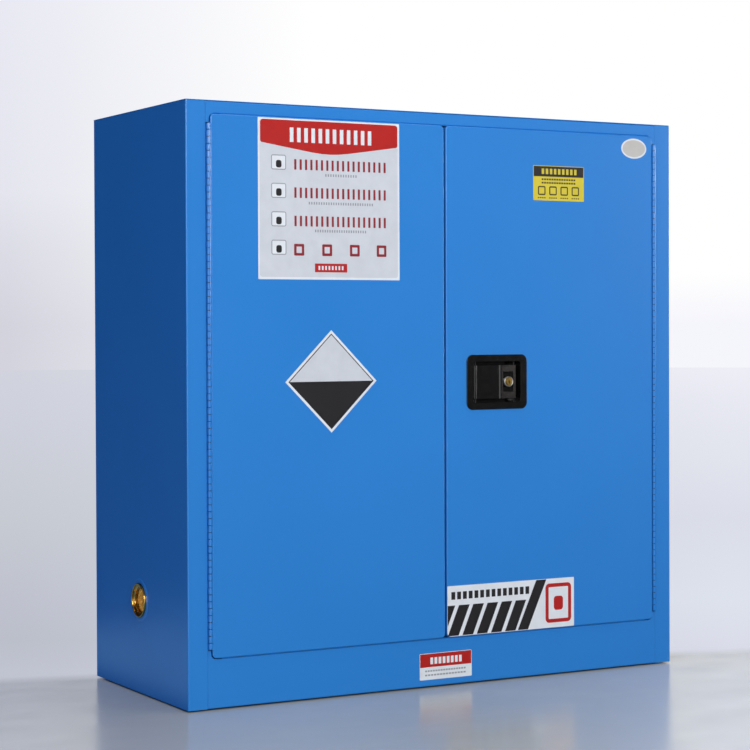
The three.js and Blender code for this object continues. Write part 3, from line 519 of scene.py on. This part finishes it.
def add_hinge(name, side):
    """A leaf on the frame and a leaf on the door round the imported pin, with the real number of knuckles."""
    low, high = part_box(f"{name}_hinge_pin")
    centre = (low + high) / 2
    barrel = centre.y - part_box(f"{name}_frame_hinge_leaf")[0].y
    leaf_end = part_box(f"{name}_frame_hinge_leaf")[1].y - centre.y
    count = round((high.z - low.z) / KNUCKLE_PITCH)
    curl = [
        (barrel, barrel), *arc(0, 0, barrel, 0, KNUCKLE_WRAP, 30),
        *arc(0, 0, KNUCKLE_BORE, KNUCKLE_WRAP, 0, 26), (KNUCKLE_BORE, barrel),
    ]
    plate = box_outline(KNUCKLE_BORE, barrel - PLATE_LAP, barrel, leaf_end)
    for phase, leaf, plate_side, body in (
        (0, "frame", side, "cabinet"),
        (1, "door", -side, f"{name}_door"),
    ):
        def place(u, v, w):
            return Vector((centre.x + plate_side * u, centre.y + v, low.z + w))

        def add_rivet(mesh, along):
            middle = (barrel + leaf_end) / 2
            add_dome(
                mesh, RIVET_RADIUS, RIVET_RISE, RIVET_STEPS,
                lambda u, v, w: place(KNUCKLE_BORE - w, middle + u, along + v),
            )

        def fill(mesh):
            add_prism(mesh, plate, 0, high.z - low.z, place)
            for i in range(phase, count, 2):
                start = i * KNUCKLE_PITCH + KNUCKLE_GAP / 2
                add_prism(mesh, curl, start, start + KNUCKLE_PITCH - KNUCKLE_GAP, place)
            for i in range(int((high.z - low.z) / RIVET_PITCH)):
                add_rivet(mesh, (i + 0.5) * RIVET_PITCH)

        piece = make_piece(f"{name}_hinge_{leaf}_leaf_fine", fill, body, [hinge_paint], LEAF_EASE)
        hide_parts(f"{name}_{leaf}_hinge_leaf")


for name, side in (("left", -1), ("right", 1)):
    add_hinge(name, side)


# Vents: turned brass bodies with a rounded lip and a thread in the bore, and a wire gauze over each screen

# Millimetres, from the flange's face inwards
VENT_LIP = 30.0
VENT_BORE = 24.0
VENT_FLARE = 3.4
VENT_FLANGE = 3.7
VENT_FLANGE_STEP = 5.5
VENT_RIM = ((0.8, 0.0), (0.35, 0.12), (0.08, 0.4), (0, 0.9))
THREAD_PITCH = 2.0
THREAD_DEPTH = 0.7
THREAD_LEAD = 2
THREAD_END = 4
THREAD = ((0, 1.6), (THREAD_DEPTH, 1.1), (THREAD_DEPTH, 0.9), (0, 0.4))
BOSS = ((0.5, 0), (0.5, 0.6), (1, 0.9), (6.6, 0.9), (7.6, 0.65), (8.4, 0))
TURNED_STEPS = 96
GAUZE_PITCH = 2.4
GAUZE_WIRE = 0.3
GAUZE_MARGIN = 0.4


def add_vent(name, side):
    """A new brass body in the place of the plain one, and its gauze."""
    low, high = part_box(f"{name}_vent_body")
    middle = (low + high) / 2
    outer = (high.z - low.z) / 2 / MM
    length = (high.x - low.x) / MM
    face = low.x if side < 0 else high.x
    barrel = outer - VENT_FLANGE_STEP

    def place(u, v, w):
        return Vector((face - side * w * MM, middle.y + u * MM, middle.z + v * MM))

    bore = [(VENT_BORE, length)]
    threads = int((length - VENT_FLARE - THREAD_END) / THREAD_PITCH)
    for i in reversed(range(threads)):
        along = VENT_FLARE + THREAD_LEAD + i * THREAD_PITCH
        bore += [(VENT_BORE + depth, along + step) for depth, step in THREAD]
    mouth = [
        (VENT_BORE, VENT_FLARE + 0.9), (VENT_BORE + 0.3, VENT_FLARE + 0.2), (VENT_BORE + 1, VENT_FLARE - 0.2),
        (VENT_LIP - 0.6, 2.9), (VENT_LIP - 0.1, 2.6), (VENT_LIP, 2.1), (VENT_LIP, 0.9),
        (VENT_LIP + 0.25, 0.35), (VENT_LIP + 0.7, 0.06), (VENT_LIP + 1.1, 0.0),
    ]
    rim = [(outer - inward, along) for inward, along in VENT_RIM]
    flange = [(outer, VENT_FLANGE), (barrel, VENT_FLANGE), (barrel, length)]
    body = make_piece(
        f"{name}_vent_body_fine",
        lambda mesh: add_turned(mesh, bore + mouth + rim + flange, TURNED_STEPS, place),
        "cabinet", [finishes["brass"]], 0.0,
    )
    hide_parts(f"{name}_vent_body")

    panel = abs(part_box(f"{name}_side_panel")[0 if side < 0 else 1].x - face) / MM
    boss = [(outer + out, panel - rise) for out, rise in BOSS]
    make_piece(
        f"{name}_vent_boss", lambda mesh: add_turned(mesh, boss, TURNED_STEPS, place),
        "cabinet", [finishes["paint"]], 0.0,
    )

    screen_low, screen_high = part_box(f"{name}_vent_screen")
    screen = abs(face - (screen_low.x if side < 0 else screen_high.x)) / MM - GAUZE_WIRE * 2.2
    reach = VENT_BORE - GAUZE_MARGIN
    wire = arc(0, 0, GAUZE_WIRE, 0, 360, 6)[:-1]

    def upright(u, v, w):
        return place(w, u, screen + v)

    def level(u, v, w):
        return place(u, w, screen + GAUZE_WIRE * 1.6 + v)

    def fill_gauze(mesh):
        steps = int(reach / GAUZE_PITCH)
        for i in range(-steps, steps + 1):
            across = i * GAUZE_PITCH
            half = math.sqrt(reach ** 2 - across ** 2)
            for weave in (upright, level):
                add_prism(mesh, [(u + across, v) for u, v in wire], -half, half, weave)

    make_piece(f"{name}_vent_gauze", fill_gauze, "cabinet", [finishes["brass"]])


for name, side in (("left", -1), ("right", 1)):
    add_vent(name, side)


# The lock's turned face, and strips that narrow the gaps over and under the doors

LOCK_FACE = 8.6
LOCK_WALL = 8.9
LOCK_BORE = 6.8
LOCK_FLANGE = 1.5
LOCK_STEPS = 64
SEAL_REACH = 0.478
SEAL_DEPTH = 20 * MM
HEAD_SEAL = (0.05 * MM, 0.69 * MM)
SILL_SEAL = (-1.55 * MM, -0.6 * MM)


def add_lock_face():
    """A plated cylinder with a rounded flange, and a dull ring round the plug."""
    low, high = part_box("lock_cylinder")
    middle = (low + high) / 2
    rim = (high.x - low.x) / 2 / MM
    length = (high.y - low.y) / MM

    def place(u, v, w):
        return Vector((middle.x + u * MM, low.y + w * MM, middle.z + v * MM))

    def fill(mesh):
        add_turned(mesh, [
            (LOCK_FACE, 0.5), (LOCK_WALL, 0.15), (9.3, 0.0), (9.9, 0.08), (rim - 0.15, 0.4), (rim, 0.8),
            (rim, LOCK_FLANGE), (LOCK_WALL, LOCK_FLANGE), (LOCK_WALL, length), (LOCK_BORE, length),
            (LOCK_BORE, 1.6), (LOCK_FACE, 1.6),
        ], LOCK_STEPS, place, 0)
        add_turned(mesh, [
            (LOCK_BORE, 0.55), (7.0, 0.3), (8.2, 0.3), (8.5, 0.5), (8.5, LOCK_FLANGE), (LOCK_BORE, LOCK_FLANGE),
        ], LOCK_STEPS, place, 1)

    face = make_piece("lock_cylinder_fine", fill, "pull_handle", [finishes["zinc"], dull_brass], 0.0)
    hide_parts("lock_cylinder")


def add_seal(name, low, high):
    """A painted strip on a rail's edge, just clear of the doors."""
    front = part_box("top_rail")[0].y
    outline = box_outline(-SEAL_REACH, front, SEAL_REACH, front + SEAL_DEPTH)
    make_piece(
        name, lambda mesh: add_prism(mesh, outline, low, high, lambda u, v, w: Vector((u, v, w))),
        "cabinet", [finishes["paint"]],
    )


add_lock_face()
door_low, door_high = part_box("left_door_skin")
add_seal("head_seal", *(door_high.z + step for step in HEAD_SEAL))
add_seal("sill_seal", *(door_low.z + step for step in SILL_SEAL))


# Labels: blank printed sheets of vinyl

FILM = 0.16 * MM
INK = 0.05 * MM
door_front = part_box("left_door_skin")[0].y
rail_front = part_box("bottom_rail")[0].y


class Sticker:
    """A printed sheet on a front face. Places on it are millimetres from its left and down from its top."""

    def __init__(self, name, body, face, left, top, outline, ground):
        self.name = name
        self.body = body
        self.face = face
        self.left = left * MM
        self.top = top * MM
        self.layers = [(outline, ground, 0)]

    def area(self, outline, ink, layer=1):
        self.layers.append((outline, ink, layer))

    def bar(self, u0, v0, u1, v1, ink, layer=1):
        self.area(box_outline(u0, v0, u1, v1), ink, layer)

    def blocks(self, u0, u1, middle, height, count, ink, layer, share):
        """A row of plain blocks, each as wide as that share of their pitch."""
        pitch = (u1 - u0) / (count - 1 + share)
        for i in range(count):
            start = u0 + i * pitch
            self.bar(start, middle - height / 2, start + share * pitch, middle + height / 2, ink, layer)

    def frame(self, u0, v0, u1, v1, radius, line, ink, ground, layer=1):
        """An outlined rounded square."""
        self.area(rounded(u0, v0, u1, v1, radius), ink, layer)
        inner = max(radius - line, 0.1)
        self.area(rounded(u0 + line, v0 + line, u1 - line, v1 - line, inner), ground, layer + 1)

    def build(self):
        used = sorted({ink for _, ink, _ in self.layers})

        def place(u, v, w):
            return Vector((self.left + u * MM, self.face - w, self.top - v * MM))

        def fill(mesh):
            for outline, ink, layer in self.layers:
                add_prism(mesh, outline, 0, FILM + layer * INK, place, used.index(ink))

        return make_piece(self.name, fill, self.body, [inks[ink] for ink in used])


def safety_sheet():
    """The large square sheet on the left door: a red head and rows of plain blocks."""
    size = 300
    label = Sticker("label_left_door_square", "left_door", door_front, -402, 1093,
                    rounded(0, 0, size, size, 1.2), "white")
    label.area(rounded(3.6, 3, size - 3.6, size - 4.5, 5), "pale")
    head = [
        *arc(10.8, 9, 6, 180, 270, 4), *arc(290, 9, 6, 270, 360, 4), *arc(292, 42, 4, 0, 80, 3),
        (188, 61.5), (168, 63.6), (150, 64.3), (132, 63.6), (112, 61.5), *arc(8.8, 42, 4, 100, 180, 3),
    ]
    label.area(head, "red", 2)
    label.blocks(66, 239, 30, 27, 12, "white", 3, 0.5)
    for row, middle in enumerate((82, 134.7, 187.6, 240.4)):
        label.frame(27, middle - 14, 58, middle + 14, 4, 1.8, "grey", "white", 2)
        label.area(rounded(37, middle - 4, 48.5, middle + 10, 4), "black", 4)
        if row < 3:
            label.blocks(75, 270, middle + 3, 19.5, 18, "dark_red", 2, 0.4)
        else:
            for u0 in (74, 133, 192, 250):
                label.frame(u0, middle - 7, u0 + 21, middle + 15, 2, 5, "dark_red", "pale", 2)
    for middle, u0, u1 in ((103.5, 140, 207), (156.6, 105, 242), (208.5, 118, 227)):
        label.blocks(u0, u1, middle, 5, round((u1 - u0) / 5), "grey", 2, 0.5)
    label.area(rounded(117.5, 269.7, 186, 286, 1), "red", 2)
    label.blocks(125, 178, 277.9, 7.5, 8, "white", 3, 0.5)
    return label.build()


def half_sheet():
    """The sheet that stands on its corner, pale above and dark below."""
    reach = 97

    def diamond(by):
        r = reach - by
        return [(reach, reach - r), (reach + r, reach), (reach, reach + r), (reach - r, reach)]

    label = Sticker("label_left_door_diamond", "left_door", door_front, -250.5 - reach, 601 + reach,
                    diamond(0), "white")
    label.area(diamond(6.5), "black")
    r = reach - 9
    label.area([(reach, reach - r), (reach + r, reach), (reach - r, reach)], "pale", 2)
    return label.build()


def notice_sheet():
    """The small yellow sheet with a dark head, high on the right door."""
    width, height = 122, 70
    label = Sticker("label_right_door_yellow", "right_door", door_front, 205, 1025.5,
                    rounded(0, 0, width, height, 2), "yellow")
    label.bar(1.2, 1.2, width - 1.2, 21.7, "black")
    label.blocks(20, 104, 11.4, 11, 9, "yellow", 2, 0.6)
    for middle in (27.3, 34.3):
        label.blocks(20, 101, middle, 3.4, 14, "black", 1, 0.72)
    for u0 in (9, 36, 63, 90):
        label.frame(u0 + 2, 41, u0 + 20, 59, 3, 2.6, "black", "yellow")
        label.blocks(u0 + 2, u0 + 20, 64.4, 2.4, 4, "black", 1, 0.6)
    return label.build()


def round_sheet():
    """The small oval near the right door's top corner."""
    across, high = 31.5, 20.6

    def oval(by):
        return [
            (across + (across - by) * math.cos(a), high + (high - by) * math.sin(a))
            for a in (2 * math.pi * i / 48 for i in range(48))
        ]

    label = Sticker("label_right_door_oval", "right_door", door_front, 451.2 - across, 1068.0 + high,
                    oval(0), "white")
    label.area(oval(3.4), "warm")
    return label.build()


def striped_sheet():
    """The long sheet low on the right door: slanted dark stripes and a red outlined square."""
    width, height, corner = 298, 99, 8
    outline = [
        (0, 0), *arc(width - 2, 2, 2, -90, 0, 4), *arc(width - 2, height - 2, 2, 0, 90, 4),
        *arc(corner, height - corner, corner, 90, 180, 6),
    ]
    label = Sticker("label_right_door_striped", "right_door", door_front, 2.6, 196, outline, "white")
    label.blocks(9, 190, 19.5, 15, 14, "black", 1, 0.66)
    top, lean, pitch, band = 38.5, 25.5, 33, 24.5
    label.area([(0.6, top), (17.8, top), (0.6, 79)], "black")
    for i in range(5):
        u = 26.3 + i * pitch
        label.area([(u, top), (u + band, top), (u + band - lean, height - 1), (u - lean, height - 1)], "black")
    label.area([(207, 1), (231, 1), (187, height - 1), (163, height - 1)], "black")
    label.frame(229, 10, 291, 89, 9, 7.5, "red", "white")
    label.area(rounded(249, 36, 271, 64, 6), "red", 3)
    return label.build()


def rail_sheet():
    """The small red and white sheet on the bottom rail."""
    width, height = 118, 51.5
    label = Sticker("label_bottom_rail", "cabinet", rail_front, -58, 67.5,
                    rounded(0, 0, width, height, 2), "white")
    label.bar(1, 1, width - 1, 27, "red")
    label.blocks(24, 95, 15, 13, 8, "white", 2, 0.66)
    for middle, count in ((34.5, 16), (42.5, 14)):
        label.blocks(12, 104, middle, 3.2, count, "grey", 1, 0.74)
    return label.build()


for sheet in (safety_sheet, half_sheet, notice_sheet, round_sheet, striped_sheet, rail_sheet):
    sheet()


# Stage

YAW = math.radians(30.299)
PITCH = math.radians(-0.909)
ROLL = math.radians(-0.187)
EYE = Vector((-2.0754, -3.7453, 0.7073))
FOCAL_PIXELS = 2091.7
PHOTO_PIXELS = 750
PRINCIPAL = (435, 358)
SENSOR = 36
SCREEN_RIGHT = (math.cos(YAW), -math.sin(YAW), 0)
SCREEN_AHEAD = (math.sin(YAW), math.cos(YAW), 0)
WHITE = (1.0, 1.0, 1.0, 1.0)
BLACK = (0.0, 0.0, 0.0, 1.0)
RISE = [(0, BLACK), (1, WHITE)]
HORIZON_LEFT = srgb(211, 211, 221)
HORIZON_RIGHT = srgb(245, 245, 252)

# Ways from the cabinet, and what gloss sees in them: black flags, the open rear and three bright patches
REAR = (0.707, 0.707, 0)
FRONT_LEFT = (-0.74, -0.67, 0)
FRONT_RIGHT = (0.80, -0.60, 0)
FAR_RIGHT = (0.927, -0.375, 0)
LEFT = (-1, 0, 0)
FLAG = (0.003, 0.006, 0.02, 1.0)
SIDE_GLOW = (2.6, 2.6, 2.6, 1)
RIGHT_GLOW = (4.9, 4.3, 4.2, 1)
EDGE_GLOW = (20, 19.5, 20, 1)

# Even soft light from below and above, and the tinted light from the left
AMBIENT_LOW = (0.31, 0.315, 0.33, 1)
AMBIENT_HIGH = (0.40, 0.41, 0.43, 1)
AMBIENT_LEFT = (0.10, 0.23, 0.49, 1)

FLOOR_REACH = 30
FLOOR_DEPTH = 0.02
FLOOR_IOR = 1.36
# What reflections see of the floor is painted glow, not its shading: a dark flag, a blue glow beside the
# cabinet's left side and a bright glow to the front-left
FLOOR_FLAG = (0.03, 0.03, 0.035, 1)
FLOOR_BESIDE_GLOW = (0.24, 0.42, 0.60, 1)
FLOOR_GLOW = (1.2, 1.2, 1.2, 1)

# The floor's tones lie in a fan that opens from in front of the cabinet
FAN_DEPTH = 4.2808
FAN_SHIFT = -0.0976
FAN_LEFT = -0.2
FAN_RIGHT = 0.14


def grey(level):
    return (level, level, level, 1)


def add_camera():
    """The camera fitted to the photograph's view."""
    data = bpy.data.cameras.new("camera")
    data.sensor_width = SENSOR
    data.lens = FOCAL_PIXELS * data.sensor_width / PHOTO_PIXELS
    data.shift_x = 0.5 - PRINCIPAL[0] / PHOTO_PIXELS
    data.shift_y = PRINCIPAL[1] / PHOTO_PIXELS - 0.5
    ahead = Vector((math.sin(YAW) * math.cos(PITCH), math.cos(YAW) * math.cos(PITCH), math.sin(PITCH)))
    right = Vector((math.cos(YAW), -math.sin(YAW), 0))
    above = right.cross(ahead)
    rolled_right = right * math.cos(ROLL) + above * math.sin(ROLL)
    rolled_above = above * math.cos(ROLL) - right * math.sin(ROLL)
    turn = Matrix((rolled_right, rolled_above, -ahead)).transposed()
    camera = bpy.data.objects.new("camera", data)
    camera.matrix_world = Matrix.Translation(EYE) @ turn.to_4x4()
    scene.collection.objects.link(camera)
    scene.camera = camera


def add_softbox(name, place, target, width, height, watts):
    data = bpy.data.lights.new(name, "AREA")
    data.shape = "RECTANGLE"
    data.size = width
    data.size_y = height
    data.energy = watts
    lamp = bpy.data.objects.new(name, data)
    lamp.location = place
    lamp.rotation_euler = (Vector(target) - Vector(place)).to_track_quat("-Z", "Y").to_euler()
    lamp.visible_camera = False
    scene.collection.objects.link(lamp)


def add_world():
    """A pale backdrop for what the camera sees, dim round the sides for gloss, and even soft light."""
    world = bpy.data.worlds.new("studio")
    world.use_nodes = True
    scene.world = world
    g = Tree(world.node_tree)
    here = g.add("ShaderNodeTexCoord").outputs["Generated"]

    def towards(direction, start, end, stops):
        return g.ramp(g.between(g.along(here, direction), 0, 1, start, end), stops)

    def height(start, end, stops):
        return towards((0, 0, 1), start, end, stops)

    left_sky = height(0, 0.15, [
        (0, HORIZON_LEFT), (0.24, srgb(219, 220, 229)), (0.42, srgb(228, 229, 238)), (1, srgb(232, 233, 242)),
    ])
    right_sky = height(0, 0.15, [(0, HORIZON_RIGHT), (0.16, WHITE), (1, WHITE)])
    backdrop = g.blend(towards(SCREEN_RIGHT, -0.2, -0.06, RISE), left_sky, right_sky)

    right_share = g.count(
        "MULTIPLY",
        towards(FRONT_RIGHT, 0.945, 0.98, RISE),
        height(-0.12, 0.3, [
            (0, BLACK), (0.23, grey(0.2)), (0.42, grey(0.6)), (0.7, WHITE), (0.8, WHITE), (1, BLACK),
        ]),
        clamp=True,
    )
    edge_share = g.count(
        "MULTIPLY",
        towards(FAR_RIGHT, 0.965, 0.985, RISE),
        height(-0.06, 0.14, [
            (0, BLACK), (0.2, grey(0.1)), (0.42, grey(0.25)), (0.75, WHITE), (0.86, WHITE), (1, BLACK),
        ]),
        clamp=True,
    )
    gloss = g.blend(towards(REAR, 0.62, 0.95, RISE), FLAG, backdrop)
    gloss = g.blend(towards(FRONT_LEFT, 0.80, 0.88, RISE), gloss, SIDE_GLOW)
    gloss = g.blend(right_share, gloss, RIGHT_GLOW)
    gloss = g.blend(edge_share, gloss, EDGE_GLOW)

    even = height(-1, 1, [(0, AMBIENT_LOW), (1, AMBIENT_HIGH)])
    ambient = g.blend(towards(LEFT, 0.1, 0.8, RISE), even, AMBIENT_LEFT)
    path = g.add("ShaderNodeLightPath")
    shown = g.count("ADD", path.outputs["Is Glossy Ray"], path.outputs["Is Transmission Ray"], clamp=True)
    seen = g.blend(path.outputs["Is Camera Ray"], g.blend(shown, ambient, gloss), backdrop)
    background = g.add("ShaderNodeBackground")
    g.join(seen, background.inputs["Color"])
    g.join(background.outputs[0], g.add("ShaderNodeOutputWorld").inputs["Surface"])


def add_floor():
    """A glossy pale floor that ends behind the cabinet, where the backdrop begins."""
    g = Graph("studio_floor")

    def along(direction):
        return g.along(g.place, direction)

    def towards(direction, start, end):
        """A share that grows from 0 to 1 as the way from the middle turns to that direction."""
        way = g.add("ShaderNodeVectorMath", operation="NORMALIZE")
        g.join(g.place, way.inputs[0])
        return g.between(g.along(way.outputs[0], direction), 0, 1, start, end)

    beyond = along(SCREEN_AHEAD)
    depth = g.count("ADD", beyond, FAN_DEPTH)
    lean = g.count("DIVIDE", g.count("ADD", along(SCREEN_RIGHT), FAN_SHIFT), depth)
    across = g.between(lean, 0, 1, FAN_LEFT, FAN_RIGHT)
    tone = g.ramp(across, [
        (0, srgb(188, 190, 194)), (0.16, srgb(172, 173, 172)), (0.4, srgb(178, 178, 172)),
        (0.61, srgb(174, 171, 160)), (0.82, srgb(187, 185, 176)), (1, srgb(205, 207, 211)),
    ])
    clouds = g.noise(7, 5, g.stretched((1, 1.6, 1)), 0.62)
    cloudy = g.blend(g.between(clouds, 0, 0.24), tone, srgb(160, 161, 162))
    g.finish(
        base_color=g.blend(g.between(g.noise(1.5, 2), 0, 0.25), cloudy, srgb(184, 187, 191)),
        roughness=g.between(clouds, 0.15, 0.26),
    )
    g.shader.inputs["IOR"].default_value = FLOOR_IOR

    share = g.count("DIVIDE", beyond, depth)
    left = g.ramp(share, [
        (0, srgb(192, 195, 208)), (0.09, srgb(187, 191, 202)), (0.205, srgb(191, 194, 206)),
        (0.436, srgb(198, 202, 210)), (0.783, srgb(207, 210, 221)), (1, HORIZON_LEFT),
    ])
    right = g.ramp(share, [
        (0, srgb(213, 216, 228)), (0.09, srgb(219, 222, 234)), (0.205, srgb(221, 226, 237)),
        (0.436, srgb(219, 222, 233)), (0.783, srgb(232, 233, 242)), (1, HORIZON_RIGHT),
    ])
    backdrop = g.blend(across, left, right)

    # Painted reflections: glossy rays see the floor glow dark round most of the cabinet, blue beside its left
    # side, bright to the front-left and like the backdrop towards the rear
    beside = g.count(
        "MULTIPLY", g.between(along(LEFT), 0, 1, 0.55, 0.65), g.between(along((0, 1, 0)), 1, 0, 0.86, 0.94)
    )
    reach = g.add("ShaderNodeVectorMath", operation="LENGTH")
    g.join(g.place, reach.inputs[0])
    glow = g.count(
        "MULTIPLY", towards(FRONT_LEFT, 0.80, 0.88), g.between(reach.outputs["Value"], 0, 1, 1.0, 1.4)
    )
    gloss = g.blend(towards(REAR, 0.62, 0.95), FLOOR_FLAG, backdrop)
    gloss = g.blend(beside, gloss, FLOOR_BESIDE_GLOW)
    gloss = g.blend(glow, gloss, FLOOR_GLOW)

    path = g.add("ShaderNodeLightPath")
    view = g.add("ShaderNodeEmission")
    g.join(g.blend(path.outputs["Is Camera Ray"], gloss, backdrop), view.inputs["Color"])
    behind = g.between(g.count("SUBTRACT", beyond, lean), 0, 1, 0.05, 0.13)
    far = g.count("MULTIPLY", behind, path.outputs["Is Camera Ray"])
    shown = g.count("ADD", path.outputs["Is Glossy Ray"], path.outputs["Is Transmission Ray"])
    surface = g.add("ShaderNodeMixShader")
    g.join(g.count("MAXIMUM", far, shown), surface.inputs["Fac"])
    g.join(g.shader.outputs[0], surface.inputs[1])
    g.join(view.outputs[0], surface.inputs[2])
    g.join(surface.outputs[0], g.output.inputs["Surface"])

    def fill(mesh):
        outline = arc(0, 0, FLOOR_REACH, 0, 360, 64)[:-1]
        add_prism(mesh, outline, -FLOOR_DEPTH, 0, lambda u, v, w: Vector((u, v, w)))

    new_object("floor", fill, [g.material])


add_camera()
add_world()
add_floor()
add_softbox("key_softbox", (-1.0, -4.2, 2.1), (0, -0.23, 0.2), 1.0, 1.6, 116)
add_softbox("overhead_softbox", (0, -1.0, 3.6), (0, -1.0, 0), 3.0, 2.0, 36)
scene.view_settings.view_transform = "Standard"
